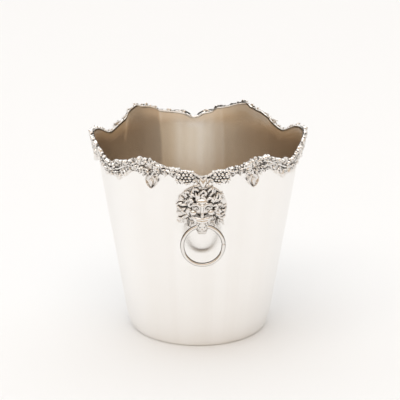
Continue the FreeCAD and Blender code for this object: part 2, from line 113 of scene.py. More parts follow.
# ------------------------------------------------------------------ mesh helpers
def make(name, verts_mm, quads, cavity=None, shade=True):
    me = bpy.data.meshes.new(name)
    v = np.asarray(verts_mm, np.float32) * 0.001
    q = np.asarray(quads, np.int32)
    me.vertices.add(len(v))
    me.vertices.foreach_set("co", v.ravel())
    n = q.shape[1]
    me.loops.add(q.size)
    me.loops.foreach_set("vertex_index", q.ravel())
    me.polygons.add(len(q))
    me.polygons.foreach_set("loop_start", np.arange(0, q.size, n, dtype=np.int32))
    me.polygons.foreach_set("loop_total", np.full(len(q), n, np.int32))
    if shade:
        me.polygons.foreach_set("use_smooth", np.ones(len(q), bool))
    me.update(calc_edges=True)
    me.validate()
    # per-point colour mix: tarnish in recesses, and painted shade and highlight on the rings and the shell
    if cavity is not None:
        a = me.attributes.new("cavity", "FLOAT", "POINT")
        a.data.foreach_set("value", np.asarray(cavity, np.float32))
    ob = bpy.data.objects.new(name, me)
    bpy.context.scene.collection.objects.link(ob)
    return ob


def grid_quads(rows, cols, wrap=True):
    i = np.arange(rows - 1)[:, None]
    j = np.arange(cols if wrap else cols - 1)[None, :]
    j2 = (j + 1) % cols
    a, b = i * cols + j, i * cols + j2
    c, d = (i + 1) * cols + j2, (i + 1) * cols + j
    return np.stack([a, d, c, b], -1).reshape(-1, 4)


def surface_nets(f, h, origin):
    """Quads of the zero surface of a sampled distance field (negative inside)."""
    shape = np.array(f.shape)
    inside = f < 0
    acc = np.zeros(tuple(shape - 1) + (3,), np.float32)
    cnt = np.zeros(tuple(shape - 1), np.float32)
    full = [slice(None)] * 3
    edges = []
    for ax in range(3):
        lo, hi = list(full), list(full)
        lo[ax], hi[ax] = slice(0, -1), slice(1, None)
        lo, hi = tuple(lo), tuple(hi)
        cross = inside[lo] != inside[hi]
        idx = np.argwhere(cross)
        f0, f1 = f[lo][cross], f[hi][cross]
        t = f0 / (f0 - f1)
        pos = idx.astype(np.float32)
        pos[:, ax] += t
        o1, o2 = [a for a in range(3) if a != ax]
        for d1 in (0, 1):
            for d2 in (0, 1):
                c = idx.copy()
                c[:, o1] -= d1
                c[:, o2] -= d2
                ok = np.all((c >= 0) & (c < shape - 1), axis=1)
                cc = c[ok]
                flat = np.ravel_multi_index(cc.T, cnt.shape)
                np.add.at(cnt.reshape(-1), flat, 1.0)
                for k in range(3):
                    np.add.at(acc.reshape(-1, 3)[:, k], flat, pos[ok][:, k])
        edges.append((ax, idx, inside[lo][cross]))
    used = cnt > 0
    number = np.full(cnt.shape, -1, np.int64)
    number[used] = np.arange(used.sum())
    verts = acc[used] / cnt[used][:, None]
    quads = []
    for ax, idx, starts_in in edges:
        o1, o2 = [a for a in range(3) if a != ax]
        ok = (idx[:, o1] > 0) & (idx[:, o2] > 0) & (idx[:, o1] < shape[o1] - 1) & (idx[:, o2] < shape[o2] - 1)
        idx, si = idx[ok], starts_in[ok]
        cs = []
        for d1, d2 in ((1, 1), (0, 1), (0, 0), (1, 0)):
            c = idx.copy()
            c[:, o1] -= d1
            c[:, o2] -= d2
            cs.append(number[c[:, 0], c[:, 1], c[:, 2]])
        q = np.stack(cs, -1)
        flip = si if ax != 1 else ~si
        q[~flip] = q[~flip][:, ::-1]
        quads.append(q)
    quads = np.concatenate(quads)
    return verts * h + np.asarray(origin, np.float32), quads


def sample(f, h, origin, p):
    g = (p - origin) / h
    g = np.clip(g, 0, np.array(f.shape) - 1.001)
    i = g.astype(np.int64)
    w = g - i
    out = 0.0
    for dx in (0, 1):
        for dy in (0, 1):
            for dz in (0, 1):
                wt = (w[:, 0] if dx else 1 - w[:, 0]) * (w[:, 1] if dy else 1 - w[:, 1]) * (w[:, 2] if dz else 1 - w[:, 2])
                out = out + wt * f[i[:, 0] + dx, i[:, 1] + dy, i[:, 2] + dz]
    return out


def cavity_of(f, h, origin, verts):
    """How far each point sits in a recess, 0 open to 1 deep, read from the field above it."""
    e = 0.5 * h
    g = np.stack([sample(f, h, origin, verts + d) - sample(f, h, origin, verts - d) for d in np.eye(3) * e], -1)
    g /= np.maximum(np.linalg.norm(g, axis=1, keepdims=True), 1e-6)
    up = g.copy()
    up[:, 2] = np.maximum(up[:, 2], 0.0) + 0.35
    up /= np.linalg.norm(up, axis=1, keepdims=True)
    occ = 0.0
    for d, w in ((0.8, 0.45), (1.6, 0.35), (2.8, 0.2)):
        occ = occ + w * np.clip(1.0 - sample(f, h, origin, verts + up * d) / d, 0.0, 1.0)
    return np.clip(occ, 0.0, 1.0)


class Field:
    def __init__(self, lo, hi, h):
        self.h, self.lo = h, np.array(lo, np.float32)
        n = np.ceil((np.array(hi) - np.array(lo)) / h).astype(int) + 1
        self.ax = [self.lo[i] + h * np.arange(n[i], dtype=np.float32) for i in range(3)]
        self.f = np.full(tuple(n), 9.0, np.float32)

    def box(self, lo, hi):
        out = []
        for i in range(3):
            a = int(np.clip(np.floor((lo[i] - self.lo[i]) / self.h), 0, len(self.ax[i]) - 1))
            b = int(np.clip(np.ceil((hi[i] - self.lo[i]) / self.h) + 1, 0, len(self.ax[i])))
            out.append(slice(a, b))
        return tuple(out)

    def at(self, bx):
        x = self.ax[0][bx[0]][:, None, None]
        y = self.ax[1][bx[1]][None, :, None]
        z = self.ax[2][bx[2]][None, None, :]
        return x, y, z

    def add(self, bx, g, k=0.0):
        a = self.f[bx]
        if a.size == 0:
            return
        if k > 0:
            m = np.clip(0.5 + 0.5 * (a - g) / k, 0, 1)
            self.f[bx] = a * (1 - m) + g * m - k * m * (1 - m)
        else:
            self.f[bx] = np.minimum(a, g)

    def cut(self, bx, g, k=0.0):
        a = self.f[bx]
        if a.size == 0:
            return
        if k > 0:
            m = np.clip(0.5 - 0.5 * (a + g) / k, 0, 1)
            self.f[bx] = a * (1 - m) - g * m + k * m * (1 - m)
        else:
            self.f[bx] = np.maximum(a, -g)

    def ball(self, c, r, k=0.0, cut=False):
        r3 = np.array(r if np.ndim(r) else (r, r, r), float)
        m = r3.max() + 2.5
        bx = self.box(np.array(c) - m, np.array(c) + m)
        x, y, z = self.at(bx)
        q = np.sqrt(((x - c[0]) / r3[0]) ** 2 + ((y - c[1]) / r3[1]) ** 2 + ((z - c[2]) / r3[2]) ** 2)
        g = ((q - 1.0) * r3.min()).astype(np.float32)
        (self.cut if cut else self.add)(bx, g, k)

    def rope(self, pts, radii, k=0.0, cut=False, flat=1.0):
        """Tapered round bar through points."""
        for (a, b), (r1, r2) in zip(zip(pts[:-1], pts[1:]), zip(radii[:-1], radii[1:])):
            a, b = np.array(a, float), np.array(b, float)
            m = max(r1, r2) + 1.6
            bx = self.box(np.minimum(a, b) - m, np.maximum(a, b) + m)
            x, y, z = self.at(bx)
            d = b - a
            L = float(d @ d) + 1e-9
            t = np.clip(((x - a[0]) * d[0] + (y - a[1]) * d[1] + (z - a[2]) * d[2]) / L, 0, 1)
            g = np.sqrt((x - a[0] - t * d[0]) ** 2 + (y - a[1] - t * d[1]) ** 2 + ((z - a[2] - t * d[2]) * flat) ** 2) - (r1 + (r2 - r1) * t)
            (self.cut if cut else self.add)(bx, g.astype(np.float32), k)


# ------------------------------------------------------------------ leaf relief
def leaflet(px, py, ang, L, W, teeth=4.0, serr=0.16):
    ca, sa = math.cos(math.radians(ang)), math.sin(math.radians(ang))
    q = (px * ca + py * sa) / L
    lat = -px * sa + py * ca
    qq = np.clip(q, 0.0, 1.0)
    tooth = 1.0 - np.abs(np.mod(qq * teeth, 1.0) - 0.15)
    hw = W * np.maximum(np.sin(math.pi * qq**0.72), 0.0) ** 0.75 * (1.0 - serr + serr * tooth) + 0.05
    d = np.abs(lat) - hw
    d = np.where(q > 1, np.hypot(lat, (q - 1) * L), d)
    d = np.where(q < 0, np.hypot(lat, q * L), d)
    return d, q, lat, hw


def leaf(F, s, t, ang, R, base=1.4, rise=2.4, spread=(0, 52, -52, 104, -104), ratio=(1.0, 0.86, 0.86, 0.6, 0.6), wide=0.36, cup=0.0, k=0.12, n0=-0.4):
    """A carved vine leaf lying on the wall, its tip pointing at `ang` degrees from +s."""
    m = R * 1.1
    bx = F.box((s - m, t - m, n0), (s + m, t + m, 8.0))
    x, y, z = F.at(bx)
    if x.size == 0 or y.size == 0 or z.size == 0:
        return
    px, py = x[:, :, 0] - s, y[:, :, 0] - t
    px, py = np.broadcast_arrays(px, py)
    bd = np.full(px.shape, 9.0)
    bh = np.zeros(px.shape)
    for da, rt in zip(spread, ratio):
        d, q, lat, hw = leaflet(px, py, ang + da, R * rt, R * rt * wide)
        body = np.clip(-d / (0.55 * R * rt * wide), 0, 1) ** 0.6
        ridge = np.exp(-((lat / 0.42) ** 2)) * (q > 0.02) * (q < 0.95)
        ribs = 0.16 * np.cos(2 * math.pi * (q * 4.5 - np.abs(lat) / (R * 0.16)))
        hh = base + rise * body * (0.62 + 0.38 * np.clip(q, 0, 1)) - cup * np.exp(-((lat / (hw * 0.55)) ** 2)) * (q > 0.1) * (q < 0.9) + 0.35 * ridge * (cup == 0) + ribs * body
        better = d < bd
        bd = np.where(better, d, bd)
        bh = np.where(better, hh, bh)
    centre = np.hypot(px, py)
    bh = bh + 0.5 * np.exp(-((centre / (0.14 * R)) ** 2))
    g = np.maximum(bd[:, :, None] * 0.9, (z - bh[:, :, None]) * 0.75)
    F.add(bx, g.astype(np.float32), k)


# elements of the two kinds of lobe: (kind, u, z, ...)
A_ITEMS = [
    ("leaf", 9.0, 203.0, 235, 6.5, {"base": 0.9, "rise": 1.2}),
    ("leaf", 6.4, 203.0, 130, 3.2, {"base": 1.0, "rise": 2.0}),
    ("leaf", 14.6, 205.0, 60, 4.4, {"base": 1.0, "rise": 2.4}),
    ("leaf", 16.6, 202.4, 200, 5.2, {"base": 1.0, "rise": 2.4}),
    ("leaf", 20.4, 203.6, 265, 5.4, {"base": 1.0, "rise": 2.6}),
    ("leaf", 22.6, 206.6, 75, 4.4, {"base": 1.0, "rise": 2.2}),
    ("leaf", 26.0, 206.8, 150, 7.6, {"base": 1.3, "rise": 2.8}),
    ("leaf", 26.6, 203.6, 235, 7.8, {"base": 1.4, "rise": 3.0}),
    ("leaf", 28.6, 209.8, 95, 6.6, {"base": 1.3, "rise": 2.6}),
    ("leaf", 33.4, 209.6, 70, 7.2, {"base": 1.3, "rise": 2.8}),
    ("leaf", 31.6, 204.2, 285, 8.4, {"base": 1.5, "rise": 3.0}),
    ("leaf", 35.2, 204.6, 320, 7.8, {"base": 1.3, "rise": 2.8}),
    ("leaf", 38.8, 205.6, 285, 7.2, {"base": 1.2, "rise": 2.6}),
    ("leaf", 39.6, 207.6, 45, 4.6, {"base": 1.0, "rise": 2.4}),
    ("leaf", 42.8, 202.0, 255, 6.0, {"base": 1.2, "rise": 2.6}),
    ("leaf", 45.4, 203.4, 80, 4.6, {"base": 1.0, "rise": 2.4}),
    ("leaf", 49.4, 200.4, 28, 8.6, {"base": 1.6, "rise": 3.0, "cup": 2.6, "spread": (0, 165), "ratio": (1.0, 0.7), "wide": 0.42}),
    ("leaf", 47.6, 196.4, 235, 6.6, {"base": 1.2, "rise": 2.8}),
    ("leaf", 52.6, 192.0, 255, 7.8, {"base": 1.3, "rise": 3.0}),
    ("leaf", 54.4, 197.4, 320, 5.6, {"base": 1.2, "rise": 2.6}),
    ("leaf", 58.8, 192.6, 280, 7.6, {"base": 1.3, "rise": 2.8}),
    ("leaf", 59.6, 197.2, 65, 4.2, {"base": 1.0, "rise": 2.2}),
    ("vine", [(0, 196.5), (3, 202.0), (6, 205.4), (11, 206.0), (16, 204.2), (21, 205.6), (26, 209.6), (31, 211.6), (36, 209.8), (41, 205.2), (46, 201.2), (51, 196.6), (56, 194.0), (60, 193.4)], 1.05),
    ("curl", 50.6, 204.6, 2.0, 1), ("curl", 43.4, 198.4, 1.8, -1), ("curl", 23.4, 201.6, 1.5, 1), ("curl", 56.4, 187.6, 1.6, 1),
]
B_ITEMS = [
    ("leaf", 3.4, 191.6, 265, 7.2, {"base": 1.3, "rise": 2.8}),
    ("leaf", 2.6, 197.0, 95, 4.4, {"base": 1.0, "rise": 2.2}),
    ("leaf", 8.0, 196.4, 285, 7.0, {"base": 1.3, "rise": 2.8}),
    ("leaf", 8.6, 203.4, 100, 5.0, {"base": 1.1, "rise": 2.4}),
    ("leaf", 13.2, 202.2, 300, 7.4, {"base": 1.3, "rise": 2.8}),
    ("leaf", 15.6, 209.0, 95, 4.8, {"base": 1.1, "rise": 2.4}),
    ("leaf", 19.6, 205.4, 265, 6.8, {"base": 1.2, "rise": 2.8}),
    ("leaf", 24.6, 208.2, 140, 7.4, {"base": 1.3, "rise": 2.8}),
    ("leaf", 25.8, 204.4, 240, 7.4, {"base": 1.4, "rise": 3.0}),
    ("leaf", 30.0, 210.6, 90, 7.0, {"base": 1.4, "rise": 2.8}),
]
B_ITEMS = B_ITEMS + [("leaf", 60 - e[1], e[2], 180 - e[3], e[4], e[5]) for e in B_ITEMS[:-1]] + [
    ("vine", [(0, 193.4), (5, 196.0), (10, 200.6), (15, 205.0), (20, 208.6), (25, 210.8), (30, 211.6), (35, 210.8), (40, 208.6), (45, 205.0), (50, 200.6), (55, 196.0), (60, 193.4)], 1.05),
    ("curl", 6.0, 190.2, 1.7, 1), ("curl", 54.0, 190.2, 1.7, -1), ("curl", 17.0, 200.4, 1.6, 1), ("curl", 43.0, 200.4, 1.6, -1),
]


def shifted(items, phi0, mirror=False):
    out = []
    for e in items:
        if e[0] == "leaf":
            u, ang = (60 - e[1], 180 - e[3]) if mirror else (e[1], e[3])
            out.append(("leaf", phi0 + u, e[2], ang, e[4], e[5]))
        elif e[0] == "vine":
            pts = [((60 - u) if mirror else u, z) for u, z in e[1]]
            out.append(("vine", [(phi0 + u, z) for u, z in pts], e[2]))
        else:
            u = 60 - e[1] if mirror else e[1]
            out.append(("curl", phi0 + u, e[2], e[3], -e[4] if mirror else e[4]))
    return out


EVERY = []
for turn in range(-1, 7):
    kind = turn % 6
    EVERY += shifted(B_ITEMS if kind in (1, 4) else A_ITEMS, 60.0 * turn, kind in (2, 5))
tips = np.random.default_rng(21)
for i in range(-16, 96):
    p = i * 4.4 + tips.uniform(-0.9, 0.9)
    if min(abs(np.mod(p + 90, 180) - 90), 99) < 4.5:
        continue
    EVERY.append(("leaf", p, float(lip_even(p)) - 0.3 + tips.uniform(-0.5, 0.5), 90 + tips.uniform(-50, 50), 3.0 + tips.uniform(-0.5, 0.7), {"base": 1.0, "rise": 2.2}))


def st(phi, z, mid):
    return (phi - mid) * DEG, (z - 200.0) / CA


def border_mesh(phi0, seed):
    mid = phi0 + 30.0
    half = 30.0 * DEG
    F = Field((-half - 1.2, -20.5, -2.9), (half + 1.2, 24.0, 6.9), 0.4)
    bx = F.box((-99, -99, -99), (99, 99, 99))
    x, y, z = F.at(bx)
    phi = mid + x[:, 0, 0] / DEG
    rng = np.random.default_rng(seed)
    lipt = (lip(phi) - 200.0) / CA
    lowt = (low(phi) - 200.0) / CA
    wob = 0.35 * np.sin(phi * 2.1 + 0.4) + 0.3 * np.sin(phi * 3.7 + 1.0) + 0.25 * np.sin(phi * 6.1)
    slope = np.gradient(lipt, x[:, 0, 0])
    fix = 1.0 / np.sqrt(1 + slope**2)
    # backing strip, and the rolled edge hooked over the sheet
    dlow = (lowt + 1.2)[:, None, None] - y
    dtop = y - (lipt + 0.3)[:, None, None]
    strip = np.maximum(np.maximum(dlow, dtop) * fix[:, None, None], np.maximum(z - 0.9 - 0.12 * np.sin(x * 2.3) * np.sin(y * 2.9), -1.35 - z))
    F.add(bx, strip.astype(np.float32))
    tc = (lipt + 0.35 + 0.3 * wob)[:, None, None]
    roll = np.hypot((y - tc) * fix[:, None, None], z + 0.15) - (0.72 + 0.25 * np.sin(phi * 5.3 + seed) ** 2)[:, None, None]
    F.add(bx, roll.astype(np.float32), 0.2)
    # beaded and bitten top edge
    for sp in np.arange(-half + 0.8, half, 1.75):
        ph = mid + sp / DEG
        away = abs((ph + 180.0) % 360.0 - 180.0)
        tt = (float(lip(np.array(ph))) - 200.0) / CA
        r = rng.uniform(0.8, 1.35) * (0.75 if away > 140 else 1.0)
        F.ball((sp + rng.uniform(-0.5, 0.5), tt + rng.uniform(-0.2, 0.9), rng.uniform(-0.3, 1.0)), r, 0.06)
        if away < 125:
            F.ball((sp + rng.uniform(-0.7, 0.7), tt - rng.uniform(1.2, 2.6), rng.uniform(1.0, 1.9)), rng.uniform(0.8, 1.2), 0.06)
    for e in EVERY:
        if e[0] == "leaf":
            if phi0 - 8 < e[1] < phi0 + 68:
                s, t = st(e[1], e[2] + 0.9 * float(raised(np.array(e[1]))), mid)
                leaf(F, s, t, e[3], e[4] * 1.1, **e[5])
        elif e[0] == "curl":
            if phi0 - 3 < e[1] < phi0 + 63:
                s, t = st(e[1], e[2], mid)
                pts, rad = [], []
                for i in range(15):
                    a = i * 0.62
                    rr = e[3] * (1 - i / 17.0)
                    pts.append((s + e[4] * rr * math.cos(a), t + rr * math.sin(a), 1.0 + 0.12 * i))
                    rad.append(0.62)
                F.rope(pts, rad)
        else:
            pts = [st(u, zz + 0.8 * float(raised(np.array(u))), mid) for u, zz in e[1]]
            pts = [p for p in pts if abs(p[0]) < half + 14]
            if len(pts) > 1:
                line = [(s, t, 2.1 + 0.5 * math.sin(i * 1.9)) for i, (s, t) in enumerate(pts)]
                F.rope(line, [e[2]] * len(line), 0.3)
    # chased nicks and hollows between the leaves
    for sp in np.arange(-half + 0.5, half, 1.5):
        ph = np.array(mid + sp / DEG)
        hi, lo_t = (float(lip(ph)) - 200.0) / CA + 0.6, (float(low(ph)) - 200.0) / CA
        for tt in np.arange(lo_t + 0.6, hi, 2.5):
            if rng.uniform() < 0.5:
                r = rng.uniform(0.42, 0.78)
                ang = rng.uniform(0, math.pi)
                F.rope([(sp + rng.uniform(-0.6, 0.6) - r * math.cos(ang), tt + rng.uniform(-0.9, 0.9) - r * math.sin(ang), 4.6), (sp + rng.uniform(-0.6, 0.6), tt + rng.uniform(-0.9, 0.9), 1.6 + rng.uniform(-0.4, 0.6))], [r * 1.25, r * 0.8], 0.1, cut=True)
        F.ball((sp + rng.uniform(-0.5, 0.5), hi + rng.uniform(-0.4, 0.8), rng.uniform(-1.4, 0.2)), rng.uniform(0.55, 0.9), 0.06, cut=True)
        F.ball((sp + rng.uniform(-0.7, 0.7), hi + rng.uniform(-0.6, 0.5), rng.uniform(0.6, 2.2)), rng.uniform(0.45, 0.8), 0.06, cut=True)
    # keep clear of the wall sheet, and stop at the lobe's ends
    below = (lipt - 0.4)[:, None, None] - y
    F.f = np.maximum(F.f, np.minimum(np.broadcast_to(below, F.f.shape) * 1.0 + 0.0, -(z + 0.15)).astype(np.float32))
    F.f = np.maximum(F.f, (np.abs(x) - half).astype(np.float32))
    v, q = surface_nets(F.f, F.h, F.lo)
    cav = cavity_of(F.f, F.h, F.lo, v) * np.maximum(smooth(-0.9, 0.6, v[:, 2]), 0.2 + 0.4 * bump_at(mid + v[:, 0] / DEG, 148.0, 171.0) + 0.6 * (1 - bump_at(mid + v[:, 0] / DEG, 96.0, 264.0, 8.0)))
    return v, q, cav, mid


def place(v, mid):
    return on_cone(mid + v[:, 0] / DEG, 200.0 + v[:, 1] * CA, v[:, 2])


def mirror_x(p):
    q = p.copy()
    q[:, 0] *= -1
    return q


def half_turn(p):
    q = p.copy()
    q[:, :2] *= -1
    return q


pieces_made = []


def four_ways(stem, p, quads, cav, slot_name, back=None):
    """front right as built, front left mirrored, and both turned to the back."""
    b = p if back is None else back
    sets = [("front_right", p, quads), ("front_left", mirror_x(p), quads[:, ::-1]), ("back_left", half_turn(b), quads), ("back_right", half_turn(mirror_x(b)), quads[:, ::-1])]
    for side, pts, qq in sets:
        ob = make("%s_%s_piece" % (stem, side), pts, qq, cav)
        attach(ob, "bucket")
        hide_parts("%s_%s" % (stem, side))
        pieces_made.append((ob, slot_name))


def two_ways(stem, names, p, quads, cav, slot_name, body="bucket"):
    for side, pts in zip(names, (p, half_turn(p))):
        ob = make("%s_%s_piece" % (stem, side), pts, quads, cav)
        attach(ob, body)
        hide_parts("%s_%s" % (stem, side))
        pieces_made.append((ob, slot_name))


for seed, (side, phi0) in enumerate((("front_right", 0.0), ("side_right", 60.0), ("back_right", 120.0), ("back_left", 180.0), ("side_left", 240.0), ("front_left", 300.0))):
    v, q, cav, mid = border_mesh(phi0, seed)
    ob = make("border_%s_piece" % side, place(v, mid), q, cav)
    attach(ob, "bucket")
    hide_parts("border_%s" % side)
    pieces_made.append((ob, "border_silver"))


# ------------------------------------------------------------------ pendant leaves
def pendant_mesh():
    F = Field((-7.4, -10.5, -0.8), (7.4, 10.5, 6.4), 0.33)
    bx = F.box((-99,) * 3, (99,) * 3)
    x, y, z = F.at(bx)
    px, py = np.broadcast_arrays(x[:, :, 0], y[:, :, 0])
    d, qv, lat, hw = leaflet(px, py - 7.6, -90, 15.6, 7.2, teeth=3.0, serr=0.05)
    rim = 2.4 * np.exp(-(((d + 1.05) / 0.85) ** 2))
    d2, q2, lat2, hw2 = leaflet(px, py - 3.6, -90, 9.4, 2.8, teeth=2.0, serr=0.0)
    inner = 2.6 * np.clip(-d2 / 1.2, 0, 1) ** 0.7
    bow = 0.8 * np.exp(-(((py + 5.5) / 4.0) ** 2))
    H = 1.5 + rim + inner + bow
    F.add(bx, np.maximum(d[:, :, None] * 0.9, np.maximum((z - H[:, :, None]) * 0.7, -0.25 - z)).astype(np.float32))
    v, q = surface_nets(F.f, F.h, F.lo)
    return v, q, cavity_of(F.f, F.h, F.lo, v)


pv, pq, pc = pendant_mesh()


def at_wall(v, phi, zc):
    return on_cone(phi + v[:, 0] / (DEG * 0.975), zc + v[:, 1] * CA, v[:, 2])


four_ways("pendant_leaf", at_wall(pv, 28.4, 191.2), pq, pc, "leaf_silver")
two_ways("pendant_leaf", ("side_right", "side_left"), at_wall(pv, 90.0, 191.6), pq, pc, "leaf_silver")


# ------------------------------------------------------------------ grape bunches
def grape_mesh():
    F = Field((-12.0, -10.5, -0.6), (12.0, 10.5, 7.4), 0.33)
    rng = np.random.default_rng(5)
    pitch = 3.45
    for j in range(-2, 3):
        for i in range(-3, 4):
            s = i * pitch + (0.5 * pitch if j % 2 else 0.0)
            t = j * pitch * 0.86
            edge = (s / 10.4) ** 2 + ((t + 0.12 * s) / 7.4) ** 2
            if edge > 1.0:
                continue
            n = 3.1 - 1.2 * edge + rng.uniform(-0.25, 0.25)
            if rng.uniform() < 0.93:
                F.ball((s + rng.uniform(-0.6, 0.6), t + rng.uniform(-0.6, 0.6), n + 0.3), 1.82 + rng.uniform(-0.34, 0.22))
    leaf(F, -8.0, -3.4, 215, 5.4, base=0.9, rise=2.0)
    leaf(F, 6.6, -4.2, 300, 5.2, base=0.9, rise=2.2)
    bx = F.box((-99,) * 3, (99,) * 3)
    x, y, z = F.at(bx)
    base = np.maximum(np.hypot(x / 10.2, y / 7.4) - 1.0, 0) * 7.0
    F.add(bx, np.maximum(np.hypot(x / 10.2, y / 7.4) * 7.4 - 7.4, np.abs(z - 0.6) - 0.8).astype(np.float32))
    F.f = np.maximum(F.f, (-0.25 - z).astype(np.float32))
    v, q = surface_nets(F.f, F.h, F.lo)
    return v, q, cavity_of(F.f, F.h, F.lo, v)


gv, gq, gc = grape_mesh()
four_ways("grape_bunch", at_wall(gv, 9.2, 199.4), gq, gc, "grape_silver", back=at_wall(gv, 9.2, 197.4))


# ------------------------------------------------------------------ clasp leaves
def clasp_mesh():
    F = Field((-6.5, -9.5, -0.6), (6.5, 9.5, 7.4), 0.33)
    for ang, L, W in ((104, 13.5, 2.5), (76, 13.5, 2.5)):
        bx = F.box((-99,) * 3, (99,) * 3)
        x, y, z = F.at(bx)
        px, py = np.broadcast_arrays(x[:, :, 0], y[:, :, 0])
        d, qv, lat, hw = leaflet(px, py + 6.6, ang, L, W, serr=0.0)
        H = 1.8 + 3.6 * np.clip(-d / 1.9, 0, 1) ** 0.6
        F.add(bx, np.maximum(d[:, :, None] * 0.9, (z - H[:, :, None]) * 0.75).astype(np.float32))
    leaf(F, -2.0, -4.2, 168, 4.6, base=1.0, rise=2.4, spread=(0,), ratio=(1.0,), wide=0.4)
    leaf(F, 2.0, -4.2, 12, 4.6, base=1.0, rise=2.4, spread=(0,), ratio=(1.0,), wide=0.4)
    F.ball((0, -6.4, 2.4), (1.8, 1.6, 2.0))
    bx = F.box((-99,) * 3, (99,) * 3)
    z = F.at(bx)[2]
    F.f = np.maximum(F.f, (-0.25 - z).astype(np.float32))
    v, q = surface_nets(F.f, F.h, F.lo)
    return v, q, cavity_of(F.f, F.h, F.lo, v)


cv, cq, cc = clasp_mesh()
two_ways("clasp_leaf", ("front", "back"), at_wall(cv, 0.0, 194.4), cq, cc, "leaf_silver")

# ------------------------------------------------------------------ lion mask
MZ, DROP, OUT, RM, RW = 164.7, 17.2, 7.5, 21.0, 2.0


def to_world(p):
    """Mask coordinates (x right, y up the wall, z out of it) to the object's frame, mm."""
    x, y, z = p[:, 0], p[:, 1], p[:, 2]
    return np.stack([x, -(R0 + K * MZ) - SA * y - CA * z, MZ + CA * y - SA * z], -1)


def mask_mesh():
    F = Field((-28.0, -30.5, -4.6), (28.0, 27.6, 17.6), 0.4)
    bx = F.box((-99,) * 3, (99,) * 3)
    x, y, z = F.at(bx)
    off = -0.9
    xc = x - off
    rad = np.hypot(xc, y)
    skin = -(x**2) / (2 * 103.0)  # the wall falls away to the sides
    zz = z - skin
    disc = np.maximum(rad - 25.5, np.abs(zz - 0.55) - 0.95)
    F.add(bx, disc.astype(np.float32))
    edge = np.hypot(rad - 25.0, zz - 1.2) - 0.7
    F.add(bx, edge.astype(np.float32), 0.2)
    rng = np.random.default_rng(11)

    def up(px, py, n):
        return (px + off, py, n - px * px / 206.0)

    def lock(px, py, ang, n, size, bend):
        """One short curled lock: fat where it springs from the head, pointed at its tip."""
        pts, rr = [], []
        a = math.radians(ang)
        for i in range(6):
            t = i / 5.0
            pts.append(up(px, py, n + 0.5 * math.sin(t * math.pi)))
            rr.append(size * (0.62 + 0.5 * math.sin(math.pi * (0.18 + 0.72 * t))) * (1.0 - 0.35 * t))
            px += size * 0.95 * math.sin(a)
            py += size * 0.95 * math.cos(a)
            a += math.radians(bend)
        F.rope(pts, rr, 0.12)
        F.rope([(p[0], p[1], p[2] + r * 0.95) for p, r in zip(pts[1:5], rr[1:5])], [0.3] * 4, 0.1, cut=True)

    for ringno, (r0, n0, size, count, start) in enumerate(((20.4, 2.5, 1.42, 27, 4.0), (16.2, 4.2, 1.5, 22, 11.0), (12.9, 5.8, 1.45, 15, -96.0))):
        for i in range(count):
            a = start + i * (360.0 / count if ringno < 2 else 192.0 / (count - 1)) + rng.uniform(-3, 3)
            aa = (a + 180.0) % 360.0 - 180.0
            if abs(aa) > (138, 128, 100)[ringno]:
                continue
            r = r0 + rng.uniform(-0.9, 0.9)
            ra = math.radians(aa)
            lock(r * math.sin(ra), r * math.cos(ra), aa + rng.uniform(-38, 38), n0 + rng.uniform(-0.4, 0.6), size * rng.uniform(0.85, 1.12), rng.uniform(-34, 34))
    # cheeks' hair sweeping down to the jaw
    for sgn in (-1, 1):
        for j, (px, py, ang) in enumerate(((13.0, -2.5, 112), (14.6, -6.0, 124), (12.4, -9.5, 136), (17.4, -9.6, 132), (14.8, -13.2, 150), (19.0, -13.6, 140))):
            lock(sgn * px, py, sgn * ang, 4.4 - 0.3 * j, 1.5, sgn * rng.uniform(-24, 24))

    # face: forehead, cheeks, long bridge of the nose
    F.ball(up(0, 2.0, 1.2), (12.6, 12.0, 7.0), 0.5)
    F.ball(up(0, 9.4, 6.2), (6.4, 3.8, 3.4), 0.7)
    for sgn in (-1, 1):
        F.rope([up(sgn * 1.9, 6.4, 10.0), up(sgn * 4.8, 8.6, 9.8), up(sgn * 8.6, 7.6, 8.2), up(sgn * 11.4, 4.2, 6.2)], [1.3, 1.6, 1.5, 0.9], 0.35)
        F.ball(up(sgn * 8.4, -2.6, 6.4), (3.9, 3.4, 3.0), 0.7)
        F.rope([up(sgn * 11.9, 6.5, 5.4), up(sgn * 13.1, 1.8, 5.0), up(sgn * 11.6, -2.8, 5.0), up(sgn * 8.2, -5.2, 6.4)], [0.55, 0.7, 0.75, 0.5], 0.2, cut=True)
    F.rope([up(0, 7.0, 9.4), up(0, 1.0, 10.4), up(0, -4.2, 11.6)], [1.3, 1.35, 1.8], 0.35)
    F.rope([up(-0.55, 5.0, 11.0), up(-0.55, 0.0, 12.0), up(-0.7, -3.6, 13.4)], [0.25, 0.3, 0.3], 0.1, cut=True)
    for sgn in (-1, 1):
        F.rope([up(sgn * 2.9, 6.2, 9.2), up(sgn * 3.1, 0.5, 9.4), up(sgn * 3.6, -4.6, 9.8)], [0.8, 0.9, 1.15], 0.25, cut=True)
        F.ball(up(sgn * 6.0, 3.2, 9.4), (3.2, 2.0, 2.6), 0.3, cut=True)
        F.ball(up(sgn * 6.0, 3.2, 7.4), (2.3, 1.5, 1.6), 0.1)
        F.rope([up(sgn * 3.6, 2.2, 8.5), up(sgn * 6.0, 4.9, 8.9), up(sgn * 8.8, 2.9, 7.9)], [0.5, 0.6, 0.5], 0.1)
        F.rope([up(sgn * 3.6, 2.0, 8.3), up(sgn * 6.0, 0.7, 8.6), up(sgn * 8.6, 2.6, 7.7)], [0.4, 0.55, 0.4], 0.1)
        F.ball(up(sgn * 5.9, 3.2, 8.9), 0.55, 0.0, cut=True)
    # hollow under the eyes, right above the muzzle's ledge
    F.rope([up(-10.6, -4.8, 9.2), up(-5.0, -4.6, 11.4), up(0.0, -4.9, 13.4), up(4.2, -4.7, 11.6), up(9.4, -4.8, 9.4)], [0.6, 1.0, 0.7, 0.9, 0.5], 0.25, cut=True)
